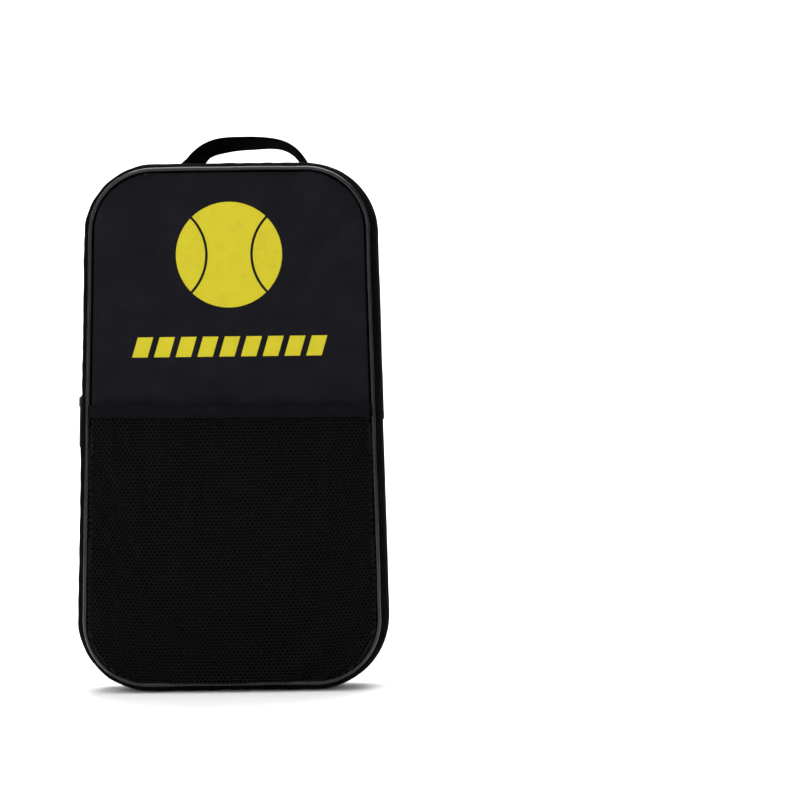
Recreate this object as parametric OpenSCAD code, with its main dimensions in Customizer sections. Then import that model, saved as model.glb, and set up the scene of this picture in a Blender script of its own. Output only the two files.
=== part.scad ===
// Padded racket-sport paddle case with a half zip, a mesh pocket, a carry handle and a back strap.
// Front faces -Y, +Z is up, and the origin is the centre of the flat base.

/* [Case body] */
// Overall height of the case without its handle
body_h = 450; // [400:5:500]
// Width at the foot, over the side band
body_w = 263; // [235:1:290]
// Width at the top, over the side band
top_w = 250; // [225:1:285]
// Depth from front piping to rear piping
body_d = 50; // [46:1:64]
// Outer corner radius
corner_r = 61; // [50:1:80]
// How far the side band stands out past the seams
band_bulge = 8.5; // [7:0.1:9.5]
// Thickness of the side band
band_t = 1.2; // [0.8:0.1:1.6]

/* [Panels] */
// Thickness of the outer cloth
cloth_t = 1; // [0.6:0.1:1.2]
// Thickness of the foam padding
foam_t = 4; // [3:0.5:5]
// Thickness of the lining
lining_t = 0.6; // [0.4:0.1:1]
// Diameter of the piping
piping_d = 3.6; // [3:0.1:4]

/* [Opening] */
// Height of the fold line across the front
crease_z = 254; // [250:1:262]
// How far below the fold line the zip ends
zip_below = 20; // [20:1:22]
// Width of the closed zip teeth, both halves
coil_w = 5.5; // [5:0.1:5.7]
// Length of the slider
slider_l = 13; // [12:0.5:13.5]
// Length of the pull tab, from its pivot
pull_l = 37; // [28:1:42]

/* [Mesh pocket] */
// Height of the pocket mouth
mouth_z = 241.5; // [232:0.5:243]
// Height of the binding on the mouth
binding_h = 10.5; // [8:0.5:14]
// Depth of the pocket
pocket_d = 5; // [4.6:0.1:7]
// Width of the pocket's sloping edge
pocket_slope = 14; // [10:1:20]

/* [Carry handle] */
// Width of the handle webbing
handle_w = 18; // [14:1:19]
// Thickness of the handle webbing
handle_t = 2.2; // [1.6:0.1:2.4]
// Height of the handle's crown above the case
handle_rise = 26; // [23:1:34]
// Half of the arch's span, to the middle of each foot
handle_half = 51; // [42:1:52]
// How far the webbing turns from upright to its crown, in degrees
handle_turn = 65; // [40:1:68]
// Sideways offset of the handle
handle_x = 13; // [6:0.5:14]

/* [Back strap] */
// Width of the strap webbing
strap_w = 30.6; // [25:0.2:32]
// Thickness of the strap webbing
strap_t = 1.6; // [1:0.1:1.8]
// Height of the strap buckle's centre
buckle_z = 247; // [220:1:270]
// Outer width of the strap buckle
buckle_w = 39; // [38:0.5:44]
// Outer height of the strap buckle
buckle_h = 27; // [26:0.5:30]
// Length of the strap tail below the buckle
tail_l = 16; // [12:1:20]

/* [Printed marks] */
// Diameter of the round mark
ball_d = 90; // [60:1:100]
// Height of the round mark's centre
ball_z = 369; // [355:1:375]
// Height of the dash row's centre
dash_z = 291; // [280:1:300]
// Number of dashes in the row
dash_count = 9; // [5:1:11]

/* [Hidden] */

cloth_color = "#202126";
band_color = "#1a1b1f";
lining_color = "#3a3b40";
foam_color = "#8d8f94";
piping_color = "#0c0c0e";
zip_color = "#141416";
metal_color = "#1e1e20";
mesh_color = "#101013";
webbing_color = "#17181b";
buckle_color = "#3c3c3e";
print_color = "#ded41a";

arc_steps = 10;
fit_gap = 0.3;

// The seam line runs inside the side band's bulge.
seam_r = corner_r - band_bulge;
foot_x = body_w / 2 - corner_r;
head_x = top_w / 2 - corner_r;
foot_z = corner_r;
head_z = body_h - corner_r;
lean = atan((foot_x - head_x) / (head_z - foot_z));
zip_end_z = crease_z - zip_below;

half_d = body_d / 2;
piping_r = piping_d / 2;
piping_y = half_d - piping_r;
piping_out = 1.4;
panel_y = half_d - 0.4;
panel_edge = piping_out - piping_r - 0.1;
foam_y = panel_y - cloth_t;
lining_y = foam_y - foam_t;
inner_edge = -band_t - fit_gap;
band_edge = piping_y - piping_r - 0.2;
shoulder = band_edge - 4.7;
slot_half = 4.5;

tape_t = 0.7;
tape_w = 7.4;
tape_out = band_bulge - band_t - 0.2;
coil_in = 0.75;
coil_out = band_bulge - 0.5;
coil_t = 1.8;

slider_half = slot_half - fit_gap;
slider_top = band_bulge + 1.1;
slider_plate = 1.2;
slider_z = crease_z - 2.4 - slider_l / 2;
crown_out = band_bulge + 4.7;
crown_half = 1.6;
crown_l = 8;
pull_pivot = crown_out - 1.8;
pull_drop = 2;
pull_r = 0.65;
pull_half = 3.2;
pull_t = 1.4;
arm_l = 7.4;

mesh_t = 1;
mesh_y = panel_y + fit_gap;
pocket_edge = panel_edge - 0.3;
pocket_y = panel_y + fit_gap + pocket_d;
binding_t = 1.8;
binding_low = mouth_z - binding_h;
mesh_top = binding_low - seam_r * sin(lean) - 0.1;

handle_y = 12.5;
handle_base = body_h + 0.1;
handle_fold = 6.4;
handle_steps = 40;
// The webbing's middle rises by this much. Its upper edge stands above the middle at the crown.
arch_rise = handle_rise - 0.1 - handle_w / 2 * cos(handle_turn) - handle_t / 2 * sin(handle_turn);

strap_y = panel_y + fit_gap;
tail_y = strap_y + strap_t + fit_gap;
tail_t = 1.5;
tail_w = strap_w - 1;
strap_joint = buckle_z - buckle_h / 2 - tail_l + 1.3;
buckle_y = tail_y + tail_t + fit_gap;
buckle_t = 3;
bar_t = 2;
bar_h = 3.2;
rim = 4.3;

film = 0.2;

// A station is a centre and an outward direction on the case's outline: [x, z, dir_x, dir_z].
function corner(cx, cz, from, to) = [
    for (i = [0:arc_steps])
        let (a = from + (to - from) * i / arc_steps) [cx, cz, cos(a), sin(a)]
];
function side(s, z) = [
    s * (foot_x + (head_x - foot_x) * (z - foot_z) / (head_z - foot_z)), z, s * cos(lean), sin(lean)
];
// Over the top, from the left side at z to the right side at z
function over_top(z) = concat(
    [side(-1, z)],
    corner(-head_x, head_z, 180 - lean, 90),
    corner(head_x, head_z, 90, lean),
    [side(1, z)]
);
// Under the foot, from the right side at z to the left side at z
function under_foot(z) = concat(
    [side(1, z)],
    corner(foot_x, foot_z, 360 + lean, 270),
    corner(-foot_x, foot_z, 270, 180 - lean),
    [side(-1, z)]
);
whole_outline = concat(
    corner(-head_x, head_z, 180 - lean, 90),
    corner(head_x, head_z, 90, lean),
    corner(foot_x, foot_z, 360 + lean, 270),
    corner(-foot_x, foot_z, 270, 180 - lean)
);

// Points on the outline, out past the seam line
function outline_points(stations, out) = [
    for (s = stations) [s[0] + (seam_r + out) * s[2], s[1] + (seam_r + out) * s[3]]
];

// A flat layer between two depths, with its outline drawn in X and Z
module layer(y_low, y_high) {
    translate([0, y_high, 0]) rotate([90, 0, 0]) linear_extrude(y_high - y_low) children();
}

// A strip that runs along the outline, with its cross-section given as [out, depth] points
module strip(stations, section, closed = false) {
    n = len(section);
    m = len(stations);
    points = [
        for (s = stations) for (p = section)
            [s[0] + (seam_r + p[0]) * s[2], p[1], s[1] + (seam_r + p[0]) * s[3]]
    ];
    walls = [
        for (i = [0:(closed ? m - 1 : m - 2)]) for (j = [0:n - 1])
            let (k = (i + 1) % m, l = (j + 1) % n) [i * n + j, i * n + l, k * n + l, k * n + j]
    ];
    caps = closed ? [] : [[for (j = [n - 1:-1:0]) j], [for (j = [0:n - 1]) (m - 1) * n + j]];
    polyhedron(points, concat(walls, caps));
}

// The cross-sections run one way round on every strip, and this turns one for the front side.
function to_front(section) = [for (i = [len(section) - 1:-1:0]) [section[i][0], -section[i][1]]];
function ring_section(out, depth, rx, ry, n) = [
    for (i = [0:n - 1]) [out + rx * cos(360 * i / n), depth + ry * sin(360 * i / n)]
];
function rounded_rect(w, h, r) = [
    for (q = [0:3]) for (i = [0:6])
        let (a = 90 * q + 15 * i, sx = (q == 0 || q == 3) ? 1 : -1, sy = q < 2 ? 1 : -1)
            [sx * (w / 2 - r) + r * cos(a), sy * (h / 2 - r) + r * sin(a)]
];

// Puts a shape drawn with +X outward and +Z up the side at the left side's seam line.
module on_left(z) {
    s = side(-1, z);
    translate([s[0] + seam_r * s[2], 0, s[1] + seam_r * s[3]]) rotate([0, lean, 0]) mirror([1, 0, 0])
        children();
}

half_band = [
    [0, band_edge], [-band_t, band_edge], [-band_t, band_edge - 0.6],
    [band_bulge - band_t, shoulder - 0.6], [band_bulge - band_t, slot_half],
    [band_bulge, slot_half], [band_bulge, shoulder]
];
full_band = concat(
    [for (i = [0:3]) half_band[i]],
    [for (i = [3:-1:0]) [half_band[i][0], -half_band[i][1]]],
    [[band_bulge, -shoulder], [band_bulge, shoulder]]
);
half_piping = ring_section(piping_out, piping_y, piping_r, piping_r, 14);
half_tape = [
    [tape_out, coil_w / 2 + 0.1], [tape_out, coil_w / 2 + 0.1 + tape_w],
    [tape_out - tape_t, coil_w / 2 + 0.1 + tape_w], [tape_out - tape_t, coil_w / 2 + 0.1]
];
coil_half = (coil_w / 2 - coil_in) / 2;
half_coil = ring_section(coil_out - coil_t / 2, coil_in + coil_half, coil_t / 2, coil_half, 8);
half_binding = [
    [-2.5, lining_y - lining_t - 0.1], [-2.5, lining_y - lining_t - 1.6],
    [0.6, lining_y - lining_t - 1.6], [0.6, lining_y - lining_t - 0.2]
];
function flipped(section) = [for (i = [len(section) - 1:-1:0]) section[i]];

/* ---- Panels ---- */
module panel_shape(stations, out) { polygon(outline_points(stations, out)); }

module rear_panel() {
    color(cloth_color) layer(foam_y, panel_y) panel_shape(whole_outline, panel_edge);
}
module rear_foam() {
    color(foam_color) layer(lining_y, foam_y) panel_shape(whole_outline, inner_edge);
}
module rear_lining() {
    color(lining_color) layer(lining_y - lining_t, lining_y) panel_shape(whole_outline, inner_edge);
}
module lower_front_panel() {
    color(cloth_color) layer(-panel_y, -foam_y) panel_shape(under_foot(crease_z - fit_gap), panel_edge);
}
module lower_front_foam() {
    color(foam_color) layer(-foam_y, -lining_y) panel_shape(under_foot(crease_z - fit_gap), inner_edge);
}
module lower_front_lining() {
    color(lining_color) layer(-lining_y, -lining_y + lining_t)
        panel_shape(under_foot(crease_z - fit_gap), inner_edge);
}
module flap_panel() {
    color(cloth_color) layer(-panel_y, -foam_y) panel_shape(over_top(crease_z + fit_gap), panel_edge);
}
module flap_foam() {
    color(foam_color) layer(-foam_y, -lining_y) panel_shape(over_top(crease_z + fit_gap), inner_edge);
}
module flap_lining() {
    color(lining_color) layer(-lining_y, -lining_y + lining_t)
        panel_shape(over_top(crease_z + fit_gap), inner_edge);
}

/* ---- Side band ---- */
// The short stretches on both front sides, between the zip's end and the fold line
module short_ends(z, section) {
    for (side_turn = [0, 1]) mirror([side_turn, 0, 0]) on_left(z)
        linear_extrude((crease_z - fit_gap - z) / cos(lean)) polygon(section);
}
module lower_band() {
    color(band_color) strip(under_foot(zip_end_z), full_band);
}
module front_band_ends() {
    color(band_color) short_ends(zip_end_z, to_front(half_band));
}
module rear_band() {
    color(band_color) strip(over_top(zip_end_z), half_band);
}
module flap_band() {
    color(band_color) strip(over_top(crease_z + fit_gap), to_front(half_band));
}

/* ---- Piping and inner seam binding ---- */
module rear_piping() {
    color(piping_color) strip(whole_outline, half_piping, closed = true);
}
module lower_front_piping() {
    color(piping_color) strip(under_foot(crease_z - fit_gap), to_front(half_piping));
}
module flap_piping() {
    color(piping_color) strip(over_top(crease_z + fit_gap), to_front(half_piping));
}
module rear_seam_binding() {
    color(lining_color) strip(whole_outline, half_binding, closed = true);
}
module lower_seam_binding() {
    color(lining_color) strip(under_foot(crease_z - fit_gap), to_front(half_binding));
}
module flap_seam_binding() {
    color(lining_color) strip(over_top(crease_z + fit_gap), to_front(half_binding));
}

/* ---- Zip ---- */
module rear_zip_tape() {
    color(zip_color) strip(over_top(zip_end_z + 0.5), half_tape);
}
module flap_zip_tape() {
    color(zip_color) strip(over_top(crease_z + fit_gap), to_front(half_tape));
}
module zip_tape_ends() {
    color(zip_color) short_ends(zip_end_z + 0.5, to_front(half_tape));
}
module rear_zip_teeth() {
    color(zip_color) strip(over_top(zip_end_z + 0.5), half_coil);
}
module flap_zip_teeth() {
    color(zip_color) strip(over_top(crease_z + fit_gap), to_front(half_coil));
}
module zip_teeth_ends() {
    color(zip_color) short_ends(zip_end_z + 0.5, to_front(half_coil));
}
module zip_end_tabs() {
    tab = [
        [band_bulge + 0.1, -8], [band_bulge + 0.1, 8],
        [band_bulge + 1, 8], [band_bulge + 1, -8]
    ];
    color(band_color) {
        strip([side(-1, zip_end_z - 8), side(-1, zip_end_z + 2)], flipped(tab));
        strip([side(1, zip_end_z + 2), side(1, zip_end_z - 8)], flipped(tab));
    }
}

module plate(out, thick, wide, long, r) {
    translate([out, 0, 0]) rotate([0, 90, 0]) linear_extrude(thick)
        polygon(rounded_rect(long, wide, r));
}
module zip_slider() {
    web_low = tape_out - tape_t - 0.7 - slider_plate;
    color(metal_color) on_left(slider_z) union() {
        plate(slider_top - slider_plate, slider_plate, 2 * slider_half, slider_l, 2.6);
        plate(web_low, slider_plate, 2 * slider_half, slider_l, 2.6);
        translate([web_low, -0.42, -slider_l / 2 + 0.5]) cube([slider_top - web_low, 0.84, 5]);
        translate([slider_top - 0.2, -crown_half, 0]) rotate([-90, 0, 0]) linear_extrude(2 * crown_half)
            difference() {
                translate([0, -crown_l / 2]) square([crown_out - slider_top + 0.2, crown_l]);
                translate([0.2, -crown_l / 2 + 1.1])
                    square([crown_out - slider_top - 1.1, crown_l - 2.2]);
            }
    }
}
module pull_tab() {
    color(metal_color) on_left(slider_z) translate([pull_pivot, 0, -pull_drop]) union() {
        rotate([90, 0, 0]) cylinder(h = 2 * pull_half, r = pull_r, center = true, $fn = 24);
        for (s = [-1, 1])
            translate([-pull_t / 2, s * (pull_half - 0.55) - 0.55, -arm_l - 1]) cube([pull_t, 1.1, arm_l + 1]);
        translate([-pull_t / 2, -pull_half, -pull_l + pull_half])
            cube([pull_t, 2 * pull_half, pull_l - pull_half - arm_l]);
        translate([-pull_t / 2, 0, -pull_l + pull_half]) rotate([0, 90, 0])
            cylinder(h = pull_t, r = pull_half, $fn = 36);
    }
}

/* ---- Mesh pocket ---- */
module mesh_pocket() {
    slope = [
        [-pocket_slope - 0.2, -pocket_y], [-pocket_slope - 0.2, -pocket_y - mesh_t],
        [pocket_edge, -mesh_y - mesh_t], [pocket_edge, -mesh_y]
    ];
    color(mesh_color) union() {
        strip(under_foot(mesh_top), slope);
        layer(-pocket_y - mesh_t, -pocket_y) panel_shape(under_foot(mesh_top), -pocket_slope);
    }
}
module pocket_binding() {
    edge = side(1, binding_low)[0] + seam_r * cos(lean);
    x_out = edge + pocket_edge - 0.3;
    x_in = edge - pocket_slope;
    y_out = pocket_y + binding_t;
    color(webbing_color) translate([0, 0, binding_low]) linear_extrude(binding_h) polygon([
        [-x_out, -mesh_y], [-x_out, -mesh_y - binding_t], [-x_in, -y_out], [x_in, -y_out],
        [x_out, -mesh_y - binding_t], [x_out, -mesh_y], [x_in, -pocket_y], [-x_in, -pocket_y]
    ]);
}

/* ---- Printed marks ---- */
module ball_print() {
    seam_path = ball_d * 0.52;
    color(print_color) translate([0, 0, ball_z]) layer(-panel_y - film, -panel_y) difference() {
        circle(d = ball_d, $fn = 96);
        for (s = [-1, 1]) translate([s * ball_d * 0.72, 0]) difference() {
            circle(r = seam_path, $fn = 96);
            circle(r = seam_path - 2.4, $fn = 96);
        }
    }
}
module dash_print() {
    pitch = 18.4;
    dash_w = 13;
    dash_h = 17;
    color(print_color) for (i = [0:dash_count - 1])
        translate([(i - (dash_count - 1) / 2) * pitch, 0, dash_z]) layer(-panel_y - film, -panel_y)
            polygon([
                [-dash_w / 2 - 2.5, -dash_h / 2], [dash_w / 2 - 2.5, -dash_h / 2],
                [dash_w / 2 + 2.5, dash_h / 2], [-dash_w / 2 + 2.5, dash_h / 2]
            ]);
}

/* ---- Carry handle ---- */
// u runs along the arch, from -1 at the left foot to 1 at the right. The right shoulder is squarer.
function arch_power(u) = u < 0 ? 3.2 : 4.5;
function arch_z(u) = arch_rise * (1 - pow(abs(u), arch_power(u)));
function arch_u(end, z) = end * pow(1 - z / arch_rise, 1 / arch_power(end));
function ease(t) = let (k = max(0, min(1, t))) k * k * (3 - 2 * k);

// The webbing's four corners at u. It stands upright at its feet and leans over towards the crown.
// On the right it stays leaning until close to its foot, where it is gathered narrower.
function webbing_section(u) =
    let (
        q = 90 * sign(u) * min(1, abs(u) / 0.85),
        upright = u < 0 ? 1 - cos(q) : ease((u - 0.7) / 0.2),
        turn = 90 - handle_turn * (1 - upright),
        out = [sin(q), 0, cos(q)],
        wide = 1 + (u < 0 ? 0.27 : -0.3) * pow(abs(u), 4),
        across = wide * handle_w / 2 * ([0, -cos(turn), 0] + sin(turn) * out),
        face = handle_t / 2 * ([0, sin(turn), 0] + cos(turn) * out),
        middle = [handle_x + handle_half * u, handle_y, handle_base + arch_z(u)]
    )
    [middle - across - face, middle + across - face, middle + across + face, middle - across + face];

module webbing_arch(from, to, steps) {
    points = [for (i = [0:steps]) each webbing_section(from + (to - from) * i / steps)];
    walls = [
        for (i = [0:steps - 1]) for (j = [0:3])
            let (a = 4 * i + j, b = 4 * i + (j + 1) % 4) each [[a, b, b + 4], [a, b + 4, a + 4]]
    ];
    caps = [[3, 2, 1, 0], [for (j = [0:3]) 4 * steps + j]];
    color(webbing_color) polyhedron(points, concat(walls, caps));
}
module carry_handle() {
    webbing_arch(arch_u(-1, handle_fold + 0.4), arch_u(1, handle_fold + 0.4), handle_steps);
}
module handle_anchors() {
    webbing_arch(-1, arch_u(-1, handle_fold - 0.4), 2);
    webbing_arch(arch_u(1, handle_fold - 0.4), 1, 2);
}

/* ---- Back strap ---- */
module flat_strap(z_low, z_high) {
    translate([-strap_w / 2, strap_y, z_low]) cube([strap_w, strap_t, z_high - z_low]);
}
module upper_strap() {
    color(webbing_color) flat_strap(strap_joint + 0.1, body_h - band_bulge + panel_edge - 0.3);
}
module lower_strap() {
    color(webbing_color) flat_strap(band_bulge - panel_edge + 0.3, strap_joint - 0.1);
}
module strap_buckle() {
    slot_h = (buckle_h - 2 * rim - bar_h) / 2;
    slot_w = buckle_w - 2 * rim;
    color(buckle_color) translate([0, 0, buckle_z]) union() {
        layer(buckle_y, buckle_y + buckle_t) difference() {
            polygon(rounded_rect(buckle_w, buckle_h, 3));
            polygon(rounded_rect(slot_w, buckle_h - 2 * rim, 1.2));
        }
        translate([-slot_w / 2 - 1, buckle_y, -bar_h / 2]) cube([slot_w + 2, bar_t, bar_h]);
    }
}
module strap_tail() {
    over = buckle_y + bar_t + fit_gap;
    reach = buckle_h / 2;
    ramp = bar_h / 2 + 0.4;
    foot = reach - rim - 0.4;
    color(webbing_color) translate([tail_w / 2, 0, buckle_z]) rotate([90, 0, -90]) linear_extrude(tail_w)
        polygon([
            [-tail_y, reach], [-tail_y, foot], [-over, ramp], [-over, -ramp], [-tail_y, -foot],
            [-tail_y, -reach - tail_l], [-tail_y - tail_t, -reach - tail_l],
            [-tail_y - tail_t, -foot - 0.1], [-over - tail_t, -ramp - 0.1],
            [-over - tail_t, ramp + 0.1], [-tail_y - tail_t, foot + 0.1], [-tail_y - tail_t, reach]
        ]);
}

rear_panel();
rear_foam();
rear_lining();
lower_front_panel();
lower_front_foam();
lower_front_lining();
flap_panel();
flap_foam();
flap_lining();
lower_band();
front_band_ends();
rear_band();
flap_band();
rear_piping();
lower_front_piping();
flap_piping();
rear_seam_binding();
lower_seam_binding();
flap_seam_binding();
rear_zip_tape();
flap_zip_tape();
zip_tape_ends();
rear_zip_teeth();
flap_zip_teeth();
zip_teeth_ends();
zip_end_tabs();
zip_slider();
pull_tab();
mesh_pocket();
pocket_binding();
ball_print();
dash_print();
handle_anchors();
carry_handle();
upper_strap();
lower_strap();
strap_tail();
strap_buckle();
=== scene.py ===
import math

import bmesh
import bpy
import numpy as np
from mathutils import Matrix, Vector
from mathutils.bvhtree import BVHTree
from mathutils.geometry import delaunay_2d_cdt


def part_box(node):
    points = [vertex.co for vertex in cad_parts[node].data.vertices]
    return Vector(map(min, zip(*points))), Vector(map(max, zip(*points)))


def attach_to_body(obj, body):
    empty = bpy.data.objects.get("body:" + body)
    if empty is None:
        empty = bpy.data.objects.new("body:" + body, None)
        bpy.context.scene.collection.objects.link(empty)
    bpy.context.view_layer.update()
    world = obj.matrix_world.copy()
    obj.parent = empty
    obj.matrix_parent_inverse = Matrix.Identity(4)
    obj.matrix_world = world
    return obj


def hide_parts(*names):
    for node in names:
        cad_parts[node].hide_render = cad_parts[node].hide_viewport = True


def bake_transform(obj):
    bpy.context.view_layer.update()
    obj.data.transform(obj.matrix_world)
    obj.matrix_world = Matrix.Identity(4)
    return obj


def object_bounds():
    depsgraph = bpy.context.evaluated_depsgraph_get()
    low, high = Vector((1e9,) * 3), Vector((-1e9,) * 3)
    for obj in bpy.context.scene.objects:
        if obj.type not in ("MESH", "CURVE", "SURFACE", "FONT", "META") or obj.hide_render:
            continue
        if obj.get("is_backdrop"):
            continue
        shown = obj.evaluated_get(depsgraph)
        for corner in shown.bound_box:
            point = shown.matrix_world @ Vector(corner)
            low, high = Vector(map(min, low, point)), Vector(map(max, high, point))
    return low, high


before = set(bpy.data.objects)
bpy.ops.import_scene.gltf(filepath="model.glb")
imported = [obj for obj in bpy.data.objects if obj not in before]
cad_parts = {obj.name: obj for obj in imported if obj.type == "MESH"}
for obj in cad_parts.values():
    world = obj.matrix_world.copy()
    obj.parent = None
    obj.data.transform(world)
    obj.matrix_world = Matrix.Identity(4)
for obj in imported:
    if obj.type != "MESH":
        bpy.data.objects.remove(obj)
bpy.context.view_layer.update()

# ---- the case's outline, from the frame ----
CORNER_R = 0.061
BAND_BULGE = 0.0085
seam_r = CORNER_R - BAND_BULGE
case_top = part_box("rear_band")[1].z
foot_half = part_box("lower_band")[1].x
crease_low, crease_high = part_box("flap_band")
lean = math.atan((foot_half - crease_high.x) / (crease_low.z - CORNER_R))
foot_x, foot_z = foot_half - CORNER_R, CORNER_R
head_z = case_top - CORNER_R
head_x = foot_x - math.tan(lean) * (head_z - foot_z)

zip_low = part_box("rear_zip_teeth")[0].z
front_y = -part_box("flap_panel")[0].y
lining_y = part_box("rear_lining")[0].y
mouth_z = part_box("pocket_binding")[1].z
binding_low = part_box("pocket_binding")[0].z

# Distances that the seams, piping and zip share
EDGE_DEPTH = 0.0219
PIPING_R = 0.00175
PIPING_OUT = 0.0009
PIPING_DEPTH = 0.0232
SLOT_HALF = 0.0043
CLOTH_T = 0.0012
SEAM_SHADE = 0.0022
STITCH_PITCH, STITCH_LENGTH = 0.0034, 0.0024

RIGHT_FOOT = seam_r * (math.pi / 2 + lean)
SIDE_LENGTH = math.hypot(foot_x - head_x, head_z - foot_z)
HEAD_ARC = seam_r * (math.pi / 2 - lean)
HALF_ROUND = foot_x + RIGHT_FOOT + SIDE_LENGTH + HEAD_ARC + head_x


def side_distance(z):
    """How far along the seam line the right side reaches height z; the left side is the same from the end."""
    return foot_x + RIGHT_FOOT + (z - foot_z) / math.cos(lean)


def station(s):
    """Centres and outward directions on the seam line, s metres round it from the middle of the foot."""
    s = np.mod(np.asarray(s, float), 2 * HALF_ROUND)
    left = s > HALF_ROUND
    d = np.where(left, 2 * HALF_ROUND - s, s)
    a = d - foot_x
    b = a - RIGHT_FOOT
    c = b - SIDE_LENGTH
    e = c - HEAD_ARC
    t = np.clip(b / SIDE_LENGTH, 0, 1)
    part = [a <= 0, b <= 0, c <= 0, e <= 0]
    angle = np.select(part, [-np.pi / 2, -np.pi / 2 + a / seam_r, lean, lean + c / seam_r], np.pi / 2)
    cx = np.select(part, [d, foot_x, foot_x + (head_x - foot_x) * t, head_x], head_x - e)
    cz = np.select([b <= 0, c <= 0], [foot_z, foot_z + (head_z - foot_z) * t], head_z)
    sign = np.where(left, -1, 1)
    return sign * cx, cz, sign * np.cos(angle), np.sin(angle)


def round_points(s, out, y, up=0.0):
    """Points out past the seam line at depth y, moved up along the line."""
    cx, cz, nx, nz = station(s)
    r = seam_r + out
    return np.stack(np.broadcast_arrays(cx + r * nx - up * nz, y, cz + r * nz + up * nx), -1)


def half_width(z, out):
    """Half the outline's width at height z, out past the seam line."""
    r = seam_r + out
    z = np.asarray(z, float)
    foot = foot_x + np.sqrt(np.maximum(r * r - (z - foot_z) ** 2, 0))
    head = head_x + np.sqrt(np.maximum(r * r - (z - head_z) ** 2, 0))
    side = foot_x + r / math.cos(lean) - (z - foot_z) * math.tan(lean)
    low, high = foot_z + r * math.sin(lean), head_z + r * math.sin(lean)
    return np.where(z < low, foot, np.where(z > high, head, side))


def seam_distance(x, z):
    """How far inside the seam line a point of the front or back is."""
    x = np.abs(x)
    flat = np.minimum(z - foot_z + seam_r, head_z + seam_r - z)
    side = (half_width(np.clip(z, foot_z, head_z), 0) - x) * math.cos(lean)
    foot = seam_r - np.hypot(x - foot_x, z - foot_z)
    head = seam_r - np.hypot(x - head_x, z - head_z)
    d = np.minimum(flat, side)
    d = np.where((x > foot_x) & (z < foot_z), foot, d)
    return np.where((x > head_x) & (z > head_z), head, d)


def ripple(a, b, wave, seed):
    """A smooth, uneven wave over two coordinates, about -1 to 1."""
    total = np.zeros(np.broadcast(a, b).shape)
    for i in range(5):
        turn = seed * 1.7 + i * 2.399
        k = 2 * math.pi / (wave * (0.62 + 0.23 * i))
        total = total + np.sin(k * (a * math.cos(turn) + b * math.sin(turn)) + seed * 3.1 + i * 1.3)
    return total / 2.6


# ---- mesh helpers ----
def add_mesh(name, points, faces, uvs=None, smooth=True, material=None):
    mesh = bpy.data.meshes.new(name)
    mesh.from_pydata([tuple(p) for p in np.asarray(points, float).reshape(-1, 3)], [], faces)
    if uvs is not None:
        layer = mesh.uv_layers.new(name="UVMap")
        layer.data.foreach_set("uv", np.asarray(uvs, np.float32).ravel())
    mesh.polygons.foreach_set("use_smooth", [smooth] * len(mesh.polygons))
    mesh.update()
    ob = bpy.data.objects.new(name, mesh)
    bpy.context.scene.collection.objects.link(ob)
    if material is not None:
        mesh.materials.append(material)
    return ob


def tube_grid(points, us, vs, ring=False, start=0):
    """Faces and UVs of a grid whose rows are closed loops. points is rows x loop x 3."""
    m, n = points.shape[:2]
    faces, uvs = [], []
    for i in range(m if ring else m - 1):
        k = (i + 1) % m
        for j in range(n):
            l = (j + 1) % n
            faces.append((start + i * n + j, start + i * n + l, start + k * n + l, start + k * n + j))
            uvs += [(us[i], vs[j]), (us[i], vs[j + 1]), (us[i + 1], vs[j + 1]), (us[i + 1], vs[j])]
    if not ring:
        faces.append(tuple(start + j for j in range(n - 1, -1, -1)))
        uvs += [(us[0], vs[j]) for j in range(n - 1, -1, -1)]
        faces.append(tuple(start + (m - 1) * n + j for j in range(n)))
        uvs += [(us[m - 1], vs[j]) for j in range(n)]
    return faces, uvs


def along(points):
    """Distances along a line of points, starting at 0."""
    step = np.linalg.norm(np.diff(points, axis=0), axis=1)
    return np.concatenate([[0], np.cumsum(step)])


def outward(ob):
    bm = bmesh.new()
    bm.from_mesh(ob.data)
    bmesh.ops.recalc_face_normals(bm, faces=bm.faces)
    bm.to_mesh(ob.data)
    bm.free()
    return ob


def swept(name, s, section, material, ring=False):
    """A closed strip round the seam line. section(s) gives rows x loop x 2 of (out, depth y)."""
    sec = section(s[:, None])
    points = round_points(s[:, None], sec[..., 0], sec[..., 1])
    mid = sec[len(s) // 2]
    vs = along(np.concatenate([mid, mid[:1]]))
    us = np.append(s, s[0] + 2 * HALF_ROUND) if ring else s
    faces, uvs = tube_grid(points, us, vs, ring=ring)
    return outward(add_mesh(name, points, faces, uvs, material=material))


def thick_line(line, thickness):
    """A closed loop round an open line of (out, depth) points, with the thickness on its inner side."""
    step = np.gradient(line, axis=-2)
    normal = np.stack([step[..., 1], -step[..., 0]], -1)
    normal = normal / np.linalg.norm(normal, axis=-1, keepdims=True)
    inner = line + normal * thickness
    return np.concatenate([line, inner[..., ::-1, :]], axis=-2)


def ribbon(name, path, across, width, thickness):
    """Webbing along a path. across is the unit direction of its width at each point of the path."""
    path = np.asarray(path, float)
    across = np.broadcast_to(np.asarray(across, float), path.shape)
    forward = np.gradient(path, axis=0)
    up = np.cross(across, forward)
    up = up / np.linalg.norm(up, axis=1, keepdims=True)
    half, t = width / 2, thickness / 2
    w = np.array([-1, -0.985, -0.93, -0.8, -0.4, 0, 0.4, 0.8, 0.93, 0.985, 1]) * half
    h = np.array([0.35, 0.8, 0.97, 1, 1, 1, 1, 1, 0.97, 0.8, 0.35]) * t
    loop = np.concatenate([np.stack([w, h], -1), np.stack([w[::-1], -h[::-1]], -1)])
    points = path[:, None] + across[:, None] * loop[None, :, :1] + up[:, None] * loop[None, :, 1:]
    faces, uvs = tube_grid(points, along(path), along(np.concatenate([loop, loop[:1]])))
    return outward(add_mesh(name, points, faces, uvs, material=webbing))


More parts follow.
